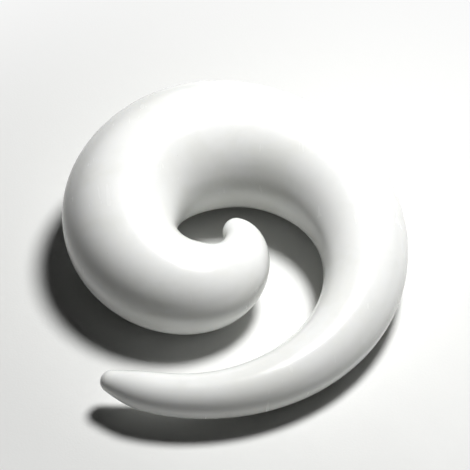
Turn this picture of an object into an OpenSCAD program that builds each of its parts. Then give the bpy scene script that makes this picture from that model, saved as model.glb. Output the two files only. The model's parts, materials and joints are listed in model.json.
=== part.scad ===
// Spiral ear taper: one solid rod of round section, bent into a flat spiral.
//
// The rod is thin and blunt at its tail, swells to the gauge on the outer bend, and thins
// again to a round nose that curls up in the eye. Its centreline is an even spiral: every
// degree round brings it the same distance closer to the middle. Only its two ends leave the
// spiral's plane a little: the tail droops and the nose rises.
// The taper lies on a table, so the spiral leans on three points of its underside.
//
// Origin: the middle of the bounding box in X and Y, at the table. +X right, +Y away, +Z up.

/* [Taper] */
// Gauge: the thickness of the thickest section, in mm
gauge = 20; // [16:0.5:21]
// From the middle of the spiral to the centreline at the tail, in mm
tail_reach = 29; // [28:0.5:34]
// From the middle of the spiral to the centreline at the nose, in mm
nose_reach = 3; // [3:0.25:5]
// How far the spiral turns from tail to nose, in degrees
sweep = 495; // [470:5:510]
// How far the tip of the tail droops towards the table, in mm
tail_droop = 0.4; // [0:0.1:1.5]
// How far the nose rises from the spiral's plane, in mm
nose_rise = 1.3; // [0:0.1:2]

/* [Lie] */
// Direction of the tail from the middle of the spiral, in degrees from +X towards +Y
tail_bearing = 240; // [0:1:359]

/* [Smoothness] */
// Corners round a section
sides = 36; // [24:2:40]
// Steps from tail to nose
steps = 96; // [72:4:108]
// Rings that close each end
end_rings = 5; // [3:1:6]

/* [Hidden] */
acrylic_white = [0.95, 0.95, 0.94];

// Thickness of the rod at shares of the sweep, as shares of the gauge
ALONG = 0;
GIRTH = 1;
SWELL = [
    // along, girth
    [0.00, 0.16],
    [0.02, 0.28],
    [0.06, 0.33],
    [0.12, 0.43],
    [0.24, 0.67],
    [0.35, 0.91],
    [0.44, 1.00],
    [0.53, 0.93],
    [0.65, 0.79],
    [0.78, 0.66],
    [0.90, 0.40],
    [1.00, 0.19],
];
LAST = len(SWELL) - 1;

// Shares of the sweep where the rod touches the table: outer arm, thick bend and hook
RESTS = [0.195, 0.43, 0.70];
// Shares of the sweep over which the tail droops and the nose rises
DROOP_SHARE = 0.15;
RISE_SHARE = 0.2;
// Above 1, steps are shorter at the tail, where the tip rounds off quickly
STEP_GROWTH = 1.2;

// Growth of the girth from row i of the table to the next
function growth(i) = (SWELL[i + 1][GIRTH] - SWELL[i][GIRTH]) / (SWELL[i + 1][ALONG] - SWELL[i][ALONG]);

// Slope of the girth at row i, level where the rod is thickest so that it never passes the gauge
function slope(i) =
    i == 0 ? growth(0) :
    i == LAST ? growth(LAST - 1) :
    let(before = growth(i - 1), after = growth(i))
    before * after <= 0 ? 0 : 2 * before * after / (before + after);

// Radius of the section at share s of the sweep, on a smooth curve through the table's rows
function radius(s) =
    let(
        i = max([for (k = [0:LAST - 1]) if (SWELL[k][ALONG] <= s) k]),
        span = SWELL[i + 1][ALONG] - SWELL[i][ALONG],
        t = (s - SWELL[i][ALONG]) / span,
        girth = (2 * t ^ 3 - 3 * t ^ 2 + 1) * SWELL[i][GIRTH]
            + (t ^ 3 - 2 * t ^ 2 + t) * span * slope(i)
            + (3 * t ^ 2 - 2 * t ^ 3) * SWELL[i + 1][GIRTH]
            + (t ^ 3 - t ^ 2) * span * slope(i + 1)
    )
    gauge / 2 * girth;

// The centreline at share s of the sweep, and its direction as seen square to the spiral's plane
function reach(s) = tail_reach + (nose_reach - tail_reach) * s;
function bearing(s) = tail_bearing + sweep * s;
function droop(s) = tail_droop * max(0, 1 - s / DROOP_SHARE) ^ 2;
function rise(s) = let(t = max(0, 1 - (1 - s) / RISE_SHARE)) nose_rise * t ^ 2 * (3 - 2 * t);
function centre(s) = [reach(s) * cos(bearing(s)), reach(s) * sin(bearing(s)), rise(s) - droop(s)];
function heading(s) =
    let(
        inward = (nose_reach - tail_reach) * [cos(bearing(s)), sin(bearing(s)), 0],
        onward = reach(s) * sweep * PI / 180 * [-sin(bearing(s)), cos(bearing(s)), 0]
    )
    (inward + onward) / norm(inward + onward);

// A ring is the middle, direction and radius of one section
MIDDLE = 0;
DIRECTION = 1;
RADIUS = 2;
rod_rings = [
    for (k = [0:steps])
        let(s = (k / steps) ^ STEP_GROWTH)
        [centre(s), heading(s), radius(s)]
];

// Angle by which the rod opens from one ring to the next
function flare(ring, next) = atan((next[RADIUS] - ring[RADIUS]) / norm(next[MIDDLE] - ring[MIDDLE]));

// Rings of the ball that closes an end: it meets the rod's own slope, and way points out of the end
function closing_rings(ring, way, angle) =
    let(ball = ring[RADIUS] / cos(angle), behind = ring[RADIUS] * tan(angle))
    [
        for (k = [1:end_rings])
            let(lift = angle + (90 - angle) * k / (end_rings + 1))
            [ring[MIDDLE] + way * (ball * sin(lift) - behind), ring[DIRECTION], ball * cos(lift)]
    ];
function pole(ring, way, angle) =
    ring[MIDDLE] + way * ring[RADIUS] * (1 / cos(angle) - tan(angle));

function reversed(list) = [for (k = [len(list) - 1:-1:0]) list[k]];

tail = rod_rings[0];
nose = rod_rings[steps];
tail_angle = flare(tail, rod_rings[1]);
nose_angle = flare(nose, rod_rings[steps - 1]);
rings = concat(
    reversed(closing_rings(tail, -tail[DIRECTION], tail_angle)),
    rod_rings,
    closing_rings(nose, nose[DIRECTION], nose_angle)
);

// The spiral leans until balls of the three resting sections touch one plane
foot = [for (s = RESTS) centre(s)];
foot_radius = [for (s = RESTS) radius(s)];
across = foot[1] - foot[0];
along = foot[2] - foot[0];
drop_across = foot_radius[0] - foot_radius[1];
drop_along = foot_radius[0] - foot_radius[2];
fall = [
    drop_across * along.y - drop_along * across.y,
    across.x * drop_along - along.x * drop_across,
    0
] / (across.x * along.y - across.y * along.x);
lean = asin(norm(fall));
hinge = cross([0, 0, 1], fall) / norm(fall);

// Turns a point about an axis through the middle of the spiral
function turned(p, axis, angle) =
    p * cos(angle) + cross(axis, p) * sin(angle) + axis * (axis * p) * (1 - cos(angle));

// Corners of a ring, anticlockwise as seen from the nose
function corners(ring) =
    let(side = cross([0, 0, 1], ring[DIRECTION]))
    [
        for (k = [0:sides - 1])
            let(a = 360 * k / sides)
            ring[MIDDLE] + ring[RADIUS] * (cos(a) * side + sin(a) * [0, 0, 1])
    ];

flat_points = concat(
    [pole(tail, -tail[DIRECTION], tail_angle)],
    [for (ring = rings) each corners(ring)],
    [pole(nose, nose[DIRECTION], nose_angle)]
);
leaning_points = [for (p = flat_points) turned(p, hinge, lean)];
low = [for (axis = [0:2]) min([for (p = leaning_points) p[axis]])];
high = [for (axis = [0:2]) max([for (p = leaning_points) p[axis]])];
base = [(low.x + high.x) / 2, (low.y + high.y) / 2, low.z];

// Triangles between the rings, with a fan at each pole
ring_count = len(rings);
tail_pole = 0;
nose_pole = ring_count * sides + 1;
function corner(ring, k) = 1 + ring * sides + k % sides;
tail_fan = [for (k = [0:sides - 1]) [tail_pole, corner(0, k), corner(0, k + 1)]];
nose_fan = [for (k = [0:sides - 1]) [nose_pole, corner(ring_count - 1, k + 1), corner(ring_count - 1, k)]];
skin = [
    for (ring = [0:ring_count - 2], k = [0:sides - 1])
        each [
            [corner(ring, k), corner(ring + 1, k), corner(ring + 1, k + 1)],
            [corner(ring, k), corner(ring + 1, k + 1), corner(ring, k + 1)]
        ]
];

module spiral_taper() {
    color(acrylic_white)
        polyhedron(
            points = [for (p = leaning_points) p - base],
            faces = concat(tail_fan, skin, nose_fan)
        );
}

spiral_taper();
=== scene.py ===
"""Spiral ear taper of polished white acrylic, lying by itself on a pale table."""
import json
import math
from collections import namedtuple

import bpy
from mathutils import Matrix, Vector


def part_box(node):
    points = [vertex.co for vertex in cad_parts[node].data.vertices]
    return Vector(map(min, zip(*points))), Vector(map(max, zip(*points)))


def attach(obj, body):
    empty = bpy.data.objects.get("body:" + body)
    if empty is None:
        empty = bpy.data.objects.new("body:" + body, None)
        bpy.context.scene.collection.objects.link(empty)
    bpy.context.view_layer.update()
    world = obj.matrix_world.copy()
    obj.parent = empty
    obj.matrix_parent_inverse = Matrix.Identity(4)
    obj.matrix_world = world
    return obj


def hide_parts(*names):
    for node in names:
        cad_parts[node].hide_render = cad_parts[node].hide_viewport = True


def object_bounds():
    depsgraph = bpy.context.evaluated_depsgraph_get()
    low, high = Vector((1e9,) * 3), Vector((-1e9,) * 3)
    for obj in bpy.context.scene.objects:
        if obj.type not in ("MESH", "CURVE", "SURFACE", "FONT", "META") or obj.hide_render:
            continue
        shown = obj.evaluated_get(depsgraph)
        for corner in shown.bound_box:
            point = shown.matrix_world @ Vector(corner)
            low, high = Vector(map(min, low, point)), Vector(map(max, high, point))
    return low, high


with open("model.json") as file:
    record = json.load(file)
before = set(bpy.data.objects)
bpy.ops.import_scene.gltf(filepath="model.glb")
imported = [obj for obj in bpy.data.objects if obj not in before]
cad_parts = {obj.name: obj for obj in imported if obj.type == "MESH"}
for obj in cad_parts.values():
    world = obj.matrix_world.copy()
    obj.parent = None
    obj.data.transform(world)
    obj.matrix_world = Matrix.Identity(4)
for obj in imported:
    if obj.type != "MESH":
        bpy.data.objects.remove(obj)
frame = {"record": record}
cad_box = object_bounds()

MM = 0.001
MIDDLE_OF_BOX = (cad_box[0] + cad_box[1]) / 2

# The taper's driving dimensions
LOBE_SEAT = frame["record"]["mounts"][0]
GAUGE = 2 * LOBE_SEAT["dims"]["r_mm"] * MM
TAIL_REACH = 29 * MM
NOSE_REACH = 3 * MM
SWEEP = math.radians(495)
TAIL_BEARING = math.radians(240)

# How far the ends leave the spiral's plane, and over which shares of the sweep
TAIL_DROOP = 0.4 * MM
DROOP_SHARE = 0.15
NOSE_RISE = 1.3 * MM
RISE_SHARE = 0.2

# Thickness of the rod at shares of the sweep, as shares of the gauge
SWELL = (
    # along, girth
    (0.00, 0.16),
    (0.02, 0.28),
    (0.06, 0.33),
    (0.12, 0.43),
    (0.24, 0.67),
    (0.35, 0.91),
    (0.44, 1.00),
    (0.53, 0.93),
    (0.65, 0.79),
    (0.78, 0.66),
    (0.90, 0.40),
    (1.00, 0.19),
)
# Shares of the sweep where the rod touches the table: outer arm, thick bend and hook
RESTS = (0.195, 0.43, 0.70)

# The cage that is smoothed into the rod, with shorter steps near the tail
SIDES = 24
STEPS = 84
STEP_GROWTH = 1.2
END_RINGS = 4
END_LIFT = math.radians(72)
SMOOTHING = 2

# Colours of the taper, the table and the backdrop, as shares of full white, and opaque
ACRYLIC_WHITE = (0.89, 0.895, 0.88, 1)
ACRYLIC_CLOUD = (0.86, 0.865, 0.84, 1)
ACRYLIC_FLECK = (0.80, 0.805, 0.78, 1)
TABLE_WHITE = (0.785, 0.788, 0.775, 1)
TABLE_FLECK = (0.75, 0.75, 0.74, 1)
PALE = (0.67, 0.67, 0.67, 1)

# Roughness of the taper and the table where they are cleanest, and what wear adds to it
POLISH = 0.18
HAZE_ON_POLISH = 0.09
SCRATCH_ON_POLISH = 0.04
BOARD_MATT = 0.66
HAZE_ON_BOARD = 0.06

# The photograph's viewpoint, and the nearest and farthest places that the camera sees
EYE = Vector((-2.86, -197.85, 220.7)) * MM
LENS = 150
NEAREST = 10 * MM
FARTHEST = 20

# The lamp above the right of the taper, and the dim light from all round
LAMP_PLACE = Vector((62, 50, 231)) * MM
LAMP_WIDTH = 70 * MM
LAMP_POWER = 0.5
ROOM_GLOW = (0.01, 0.01, 0.011, 1)

TABLE_SIZE = 8
# From here to there the camera sees the table fade into the pale backdrop
FADE_START = 35 * MM
FADE_END = 90 * MM

# A section of the rod: its middle, the way the rod runs there, and its radius
Section = namedtuple("Section", "middle way radius")


def girth_rise(row):
    """Growth of the girth from a row of the table to the next."""
    (along, girth), (next_along, next_girth) = SWELL[row:row + 2]
    return (next_girth - girth) / (next_along - along)


def girth_slope(row):
    """Slope of the girth at a row of the table, level where the rod is thickest."""
    if row == 0:
        return girth_rise(0)
    if row == len(SWELL) - 1:
        return girth_rise(row - 1)
    before, after = girth_rise(row - 1), girth_rise(row)
    return 0 if before * after <= 0 else 2 * before * after / (before + after)


def rod_radius(share):
    """Radius at a share of the sweep, on a smooth curve through the table's rows."""
    row = max(k for k in range(len(SWELL) - 1) if SWELL[k][0] <= share)
    (along, girth), (next_along, next_girth) = SWELL[row:row + 2]
    span = next_along - along
    t = (share - along) / span
    here = (2 * t**3 - 3 * t**2 + 1) * girth + (t**3 - 2 * t**2 + t) * span * girth_slope(row)
    there = (3 * t**2 - 2 * t**3) * next_girth + (t**3 - t**2) * span * girth_slope(row + 1)
    return GAUGE / 2 * (here + there)


def rod_section(share):
    """Section of the rod at a share of the sweep, with the spiral's plane level."""
    bearing = TAIL_BEARING + SWEEP * share
    reach = TAIL_REACH + (NOSE_REACH - TAIL_REACH) * share
    droop = TAIL_DROOP * max(0, 1 - share / DROOP_SHARE) ** 2
    risen = max(0, 1 - (1 - share) / RISE_SHARE)
    height = NOSE_RISE * risen**2 * (3 - 2 * risen) - droop
    outward = Vector((math.cos(bearing), math.sin(bearing), 0))
    onward = Vector((-outward.y, outward.x, 0))
    way = (NOSE_REACH - TAIL_REACH) * outward + reach * SWEEP * onward
    return Section(reach * outward + Vector((0, 0, height)), way.normalized(), rod_radius(share))


def closing_sections(end, neighbour, way):
    """Sections of the ball that closes an end and meets the rod's own slope there."""
    run = (end.middle - neighbour.middle).length
    flare = math.atan((neighbour.radius - end.radius) / run)
    ball = end.radius / math.cos(flare)
    ball_middle = end.middle - way * end.radius * math.tan(flare)
    lifts = [flare + (END_LIFT - flare) * k / END_RINGS for k in range(1, END_RINGS + 1)]
    return [
        Section(ball_middle + way * ball * math.sin(lift), end.way, ball * math.cos(lift))
        for lift in lifts
    ]


def all_sections():
    """Sections from the tip of the tail to the tip of the nose."""
    rod = [rod_section((k / STEPS) ** STEP_GROWTH) for k in range(STEPS + 1)]
    tail = closing_sections(rod[0], rod[1], -rod[0].way)
    nose = closing_sections(rod[-1], rod[-2], rod[-1].way)
    return tail[::-1] + rod + nose


def draw_rod(sections):
    """Extrudes one circle from section to section, and closes both ends with a grid."""
    # The smoothing draws the skin in to this share of the cage's radius
    skin_share = (2 + math.cos(math.tau / SIDES)) / 3
    first = sections[0]
    heading = math.atan2(first.way.y, first.way.x)
    bpy.ops.object.select_all(action="DESELECT")
    bpy.ops.mesh.primitive_circle_add(
        vertices=SIDES,
        radius=first.radius / skin_share,
        location=first.middle,
        rotation=(math.pi / 2, 0, heading + math.pi / 2),
    )
    rod = bpy.context.object
    bpy.ops.object.transform_apply(location=True, rotation=True, scale=True)
    bpy.ops.object.mode_set(mode="EDIT")
    bpy.ops.mesh.select_all(action="SELECT")
    for here, there in zip(sections, sections[1:]):
        turn = math.atan2(here.way.cross(there.way).z, here.way.dot(there.way))
        growth = there.radius / here.radius
        bpy.ops.mesh.extrude_region_move(
            TRANSFORM_OT_translate={"value": there.middle - here.middle})
        bpy.ops.transform.rotate(value=-turn, orient_axis="Z", center_override=there.middle)
        bpy.ops.transform.resize(value=(growth, growth, growth), center_override=there.middle)
    bpy.ops.mesh.fill_grid(span=SIDES // 4)
    bpy.ops.mesh.select_all(action="DESELECT")
    bpy.ops.mesh.select_mode(type="EDGE")
    bpy.ops.mesh.select_non_manifold()
    bpy.ops.mesh.fill_grid(span=SIDES // 4)
    bpy.ops.mesh.select_all(action="SELECT")
    bpy.ops.mesh.normals_make_consistent(inside=False)
    bpy.ops.object.mode_set(mode="OBJECT")
    return rod


def lean_of_spiral():
    """Angle and axis of the lean at which balls of the resting sections touch one plane."""
    feet = [rod_section(share) for share in RESTS]
    across, along = (foot.middle - feet[0].middle for foot in feet[1:])
    drop_across, drop_along = (feet[0].radius - foot.radius for foot in feet[1:])
    fall = Vector((
        drop_across * along.y - drop_along * across.y,
        across.x * drop_along - along.x * drop_across,
        0,
    )) / across.cross(along).z
    return math.asin(fall.length), Vector((0, 0, 1)).cross(fall).normalized()


def lay_down(rod, node):
    """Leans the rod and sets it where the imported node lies."""
    angle, hinge = lean_of_spiral()
    rod.matrix_world = Matrix.Rotation(angle, 4, hinge)
    bpy.ops.object.transform_apply(location=True, rotation=True, scale=True)
    low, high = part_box(node)
    corners = [Vector(corner) for corner in rod.bound_box]
    own_low = Vector(map(min, *corners))
    own_high = Vector(map(max, *corners))
    shift = (low + high - own_low - own_high) / 2
    shift.z = low.z - own_low.z
    rod.location = shift
    bpy.ops.object.transform_apply(location=True, rotation=True, scale=True)


def make_taper(node):
    """The smooth taper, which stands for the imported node."""
    taper = draw_rod(all_sections())
    taper.name = "polished_taper"
    smooth = taper.modifiers.new("smooth", "SUBSURF")
    smooth.levels = smooth.render_levels = SMOOTHING
    bpy.ops.object.modifier_apply(modifier=smooth.name)
    bpy.ops.object.shade_smooth()
    lay_down(taper, node)
    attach(taper, "root")
    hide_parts(node)
    return taper


def add_node(tree, kind, inputs=None, **settings):
    """Adds a node with its settings, and gives each input a value or links a socket to it."""
    node = tree.nodes.new(kind)
    for name, value in settings.items():
        setattr(node, name, value)
    for key, value in (inputs or {}).items():
        if isinstance(value, bpy.types.NodeSocket):
            tree.links.new(value, node.inputs[key])
        else:
            node.inputs[key].default_value = value
    return node


def maths(tree, operation, *values):
    """Works one result out of numbers or sockets."""
    return add_node(tree, "ShaderNodeMath", dict(enumerate(values)), operation=operation).outputs[0]


def smooth_step(tree, value, start, end):
    """Goes smoothly from 0 at start to 1 at end."""
    return add_node(
        tree, "ShaderNodeMapRange", {"Value": value, "From Min": start, "From Max": end},
        interpolation_type="SMOOTHSTEP",
    ).outputs[0]


def mixed_colour(tree, share, plain, other):
    """Goes from the plain colour at share 0 to the other one at share 1."""
    return add_node(
        tree, "ShaderNodeMixRGB", {"Fac": share, "Color1": plain, "Color2": other}).outputs[0]


def new_group(name, lengths, output):
    """A shader group that takes a place and named lengths in mm, and puts out one value."""
    group = bpy.data.node_groups.new(name, "ShaderNodeTree")
    group.interface.new_socket("Place", in_out="INPUT", socket_type="NodeSocketVector")
    for length in lengths:
        group.interface.new_socket(length, in_out="INPUT", socket_type="NodeSocketFloat")
    group.interface.new_socket(output, in_out="OUTPUT", socket_type="NodeSocketFloat")
    entry = group.nodes.new("NodeGroupInput").outputs
    return group, entry


def end_group(group, value):
    """Puts the value out of the group."""
    group.links.new(value, group.nodes.new("NodeGroupOutput").inputs[0])
    return group


def repeats_per_metre(tree, spacing_mm):
    return maths(tree, "DIVIDE", 1 / MM, spacing_mm)


def soft_unevenness():
    """Rolling high and low places, a wave apart, in mm of height."""
    group, entry = new_group("soft unevenness", ("Wave", "Depth"), "Height")
    noise = add_node(group, "ShaderNodeTexNoise", {
        "Vector": entry["Place"],
        "Scale": repeats_per_metre(group, entry["Wave"]),
        "Detail": 1.0,
    })
    return end_group(group, maths(group, "MULTIPLY", noise.outputs[0], entry["Depth"]))


# Levels of the noise at which a patch starts and at which it is full
PATCH_EDGE = (0.42, 0.66)
# Share of a fleck's radius that is full
FLECK_CORE = 0.4


def cloudiness():
    """Patches with soft and ragged edges, from 0 to 1."""
    group, entry = new_group("cloudiness", ("Patch",), "Mask")
    noise = add_node(group, "ShaderNodeTexNoise", {
        "Vector": entry["Place"],
        "Scale": repeats_per_metre(group, entry["Patch"]),
        "Detail": 4.0,
        "Roughness": 0.6,
        "Distortion": 0.4,
    })
    return end_group(group, smooth_step(group, noise.outputs[0], *PATCH_EDGE))


def flecks():
    """Scattered dots of up to the given size, from 0 to 1."""
    group, entry = new_group("flecks", ("Spacing", "Size"), "Mask")
    cells = add_node(group, "ShaderNodeTexVoronoi", {
        "Vector": entry["Place"],
        "Scale": repeats_per_metre(group, entry["Spacing"]),
    })
    distance = maths(group, "MULTIPLY", cells.outputs["Distance"], entry["Spacing"])
    edge = maths(group, "MULTIPLY", entry["Size"], 0.5)
    core = maths(group, "MULTIPLY", edge, FLECK_CORE)
    return end_group(group, smooth_step(group, distance, edge, core))


# Turns of the sets of hairlines, in degrees, and how much they wander for each step across
HAIRLINE_TURNS = ((20, 75, 10), (80, 15, 130), (130, 60, 55))
HAIRLINE_WANDER = 0.12
# Levels of the noise at which a hairline shows first and at which it shows fully
HAIRLINE_SHOWS = (0.52, 0.62)


def hairlines():
    """Fine scratches that cross at chance angles and fade in and out, from 0 to 1."""
    group, entry = new_group("hairlines", ("Spacing", "Width"), "Mask")
    scale = repeats_per_metre(group, entry["Spacing"])
    width = maths(group, "DIVIDE", entry["Width"], entry["Spacing"])
    mask = 0.0
    for turns in HAIRLINE_TURNS:
        turned = add_node(group, "ShaderNodeMapping", {
            "Vector": entry["Place"],
            "Rotation": [math.radians(turn) for turn in turns],
            "Scale": (1, HAIRLINE_WANDER, HAIRLINE_WANDER),
        })
        noise = add_node(group, "ShaderNodeTexNoise", {
            "Vector": turned.outputs[0], "Scale": scale, "Detail": 0.0})
        away = maths(group, "ABSOLUTE", maths(group, "SUBTRACT", noise.outputs[0], 0.5))
        mask = maths(group, "MAXIMUM", mask, smooth_step(group, away, width, 0.0))
    breaks = add_node(group, "ShaderNodeTexNoise", {
        "Vector": entry["Place"], "Scale": scale, "Detail": 1.0})
    shown = smooth_step(group, breaks.outputs[0], *HAIRLINE_SHOWS)
    return end_group(group, maths(group, "MULTIPLY", mask, shown))


def use_group(tree, group, place, **lengths_mm):
    """Places a shared effect in a material, with lengths of its own."""
    inputs = {"Place": place, **lengths_mm}
    return add_node(tree, "ShaderNodeGroup", inputs, node_tree=group).outputs[0]


def new_material(name, constants):
    """A material with constant values on its shader's own sockets."""
    material = bpy.data.materials.new(name)
    material.use_nodes = True
    tree = material.node_tree
    shader = tree.nodes["Principled BSDF"]
    for socket, value in constants.items():
        shader.inputs[socket].default_value = value
    place = tree.nodes.new("ShaderNodeTexCoord").outputs["Object"]
    return material, tree, shader, place


def raise_surface(tree, shader, *heights_mm):
    """Bumps the surface by the sum of heights in mm."""
    total = heights_mm[0]
    for height in heights_mm[1:]:
        total = maths(tree, "ADD", total, height)
    bump = add_node(tree, "ShaderNodeBump", {"Strength": 1.0, "Distance": MM, "Height": total})
    tree.links.new(bump.outputs[0], shader.inputs["Normal"])


def polished_acrylic(groups):
    """White acrylic: tumbled smooth, with clouds in the pigment, handling haze and hairlines."""
    material, tree, shader, place = new_material("polished white acrylic", {
        "IOR": 1.49,
        "Subsurface Weight": 0.1,
        "Subsurface Radius": (1.0, 0.95, 0.85),
        "Subsurface Scale": 1.5 * MM,
    })
    clouds = use_group(tree, groups["cloudiness"], place, Patch=9.0)
    specks = use_group(tree, groups["flecks"], place, Spacing=2.6, Size=0.22)
    haze = use_group(tree, groups["cloudiness"], place, Patch=5.0)
    scratches = use_group(tree, groups["hairlines"], place, Spacing=3.5, Width=0.05)
    waves = use_group(tree, groups["soft unevenness"], place, Wave=6.0, Depth=0.012)
    ripple = use_group(tree, groups["soft unevenness"], place, Wave=1.5, Depth=0.0012)

    white = mixed_colour(tree, clouds, ACRYLIC_WHITE, ACRYLIC_CLOUD)
    flecked = mixed_colour(tree, specks, white, ACRYLIC_FLECK)
    tree.links.new(flecked, shader.inputs["Base Color"])

    hazed = maths(tree, "MULTIPLY_ADD", haze, HAZE_ON_POLISH, POLISH)
    roughness = maths(tree, "MULTIPLY_ADD", scratches, SCRATCH_ON_POLISH, hazed)
    tree.links.new(roughness, shader.inputs["Roughness"])
    raise_surface(tree, shader, waves, ripple)
    return material


def matte_board(groups):
    """Matte white board, which stays as pale far away as it is under the lamp."""
    material, tree, shader, place = new_material("matte white board", {"IOR": 1.45})
    specks = use_group(tree, groups["flecks"], place, Spacing=3.0, Size=0.25)
    haze = use_group(tree, groups["cloudiness"], place, Patch=14.0)
    grain = use_group(tree, groups["soft unevenness"], place, Wave=0.35, Depth=0.01)

    flecked = mixed_colour(tree, specks, TABLE_WHITE, TABLE_FLECK)
    tree.links.new(flecked, shader.inputs["Base Color"])
    roughness = maths(tree, "MULTIPLY_ADD", haze, HAZE_ON_BOARD, BOARD_MATT)
    tree.links.new(roughness, shader.inputs["Roughness"])
    raise_surface(tree, shader, grain)

    away = add_node(tree, "ShaderNodeVectorMath", {0: place}, operation="LENGTH").outputs["Value"]
    seen = tree.nodes.new("ShaderNodeLightPath").outputs["Is Camera Ray"]
    fade = maths(tree, "MULTIPLY", smooth_step(tree, away, FADE_START, FADE_END), seen)
    far = add_node(tree, "ShaderNodeEmission", {"Color": PALE})
    both = add_node(tree, "ShaderNodeMixShader", {
        0: fade, 1: shader.outputs[0], 2: far.outputs[0]})
    tree.links.new(both.outputs[0], tree.nodes["Material Output"].inputs["Surface"])
    return material


def add_camera():
    """The camera at the photograph's viewpoint, turned to the middle of the taper."""
    bpy.ops.object.camera_add(location=EYE)
    camera = bpy.context.object
    camera.rotation_euler = (MIDDLE_OF_BOX - EYE).to_track_quat("-Z", "Y").to_euler()
    camera.data.lens = LENS
    camera.data.clip_start = NEAREST
    camera.data.clip_end = FARTHEST
    bpy.context.scene.camera = camera


def add_lamp():
    """A small round softbox close above the right of the taper."""
    bpy.ops.object.light_add(type="AREA", location=LAMP_PLACE)
    lamp = bpy.context.object
    lamp.name = "key lamp"
    lamp.rotation_euler = (-LAMP_PLACE).to_track_quat("-Z", "Y").to_euler()
    lamp.data.shape = "DISK"
    lamp.data.size = LAMP_WIDTH
    lamp.data.energy = LAMP_POWER


def add_table(material):
    """A board that reaches far past the view."""
    bpy.ops.mesh.primitive_plane_add(size=TABLE_SIZE)
    table = bpy.context.object
    table.name = "table"
    table.data.materials.append(material)


def add_room():
    """A dim room for the light, which the camera sees as a pale backdrop."""
    world = bpy.data.worlds.new("studio")
    world.use_nodes = True
    tree = world.node_tree
    seen = tree.nodes.new("ShaderNodeLightPath").outputs["Is Camera Ray"]
    colour = mixed_colour(tree, seen, ROOM_GLOW, PALE)
    tree.links.new(colour, tree.nodes["Background"].inputs["Color"])
    bpy.context.scene.world = world


groups = {
    "soft unevenness": soft_unevenness(),
    "cloudiness": cloudiness(),
    "flecks": flecks(),
    "hairlines": hairlines(),
}
add_camera()
add_lamp()
add_room()
add_table(matte_board(groups))
taper = make_taper("spiral_taper")
taper.data.materials.append(polished_acrylic(groups))
bpy.context.scene.view_settings.view_transform = "Standard"
bpy.context.scene.view_settings.look = "High Contrast"
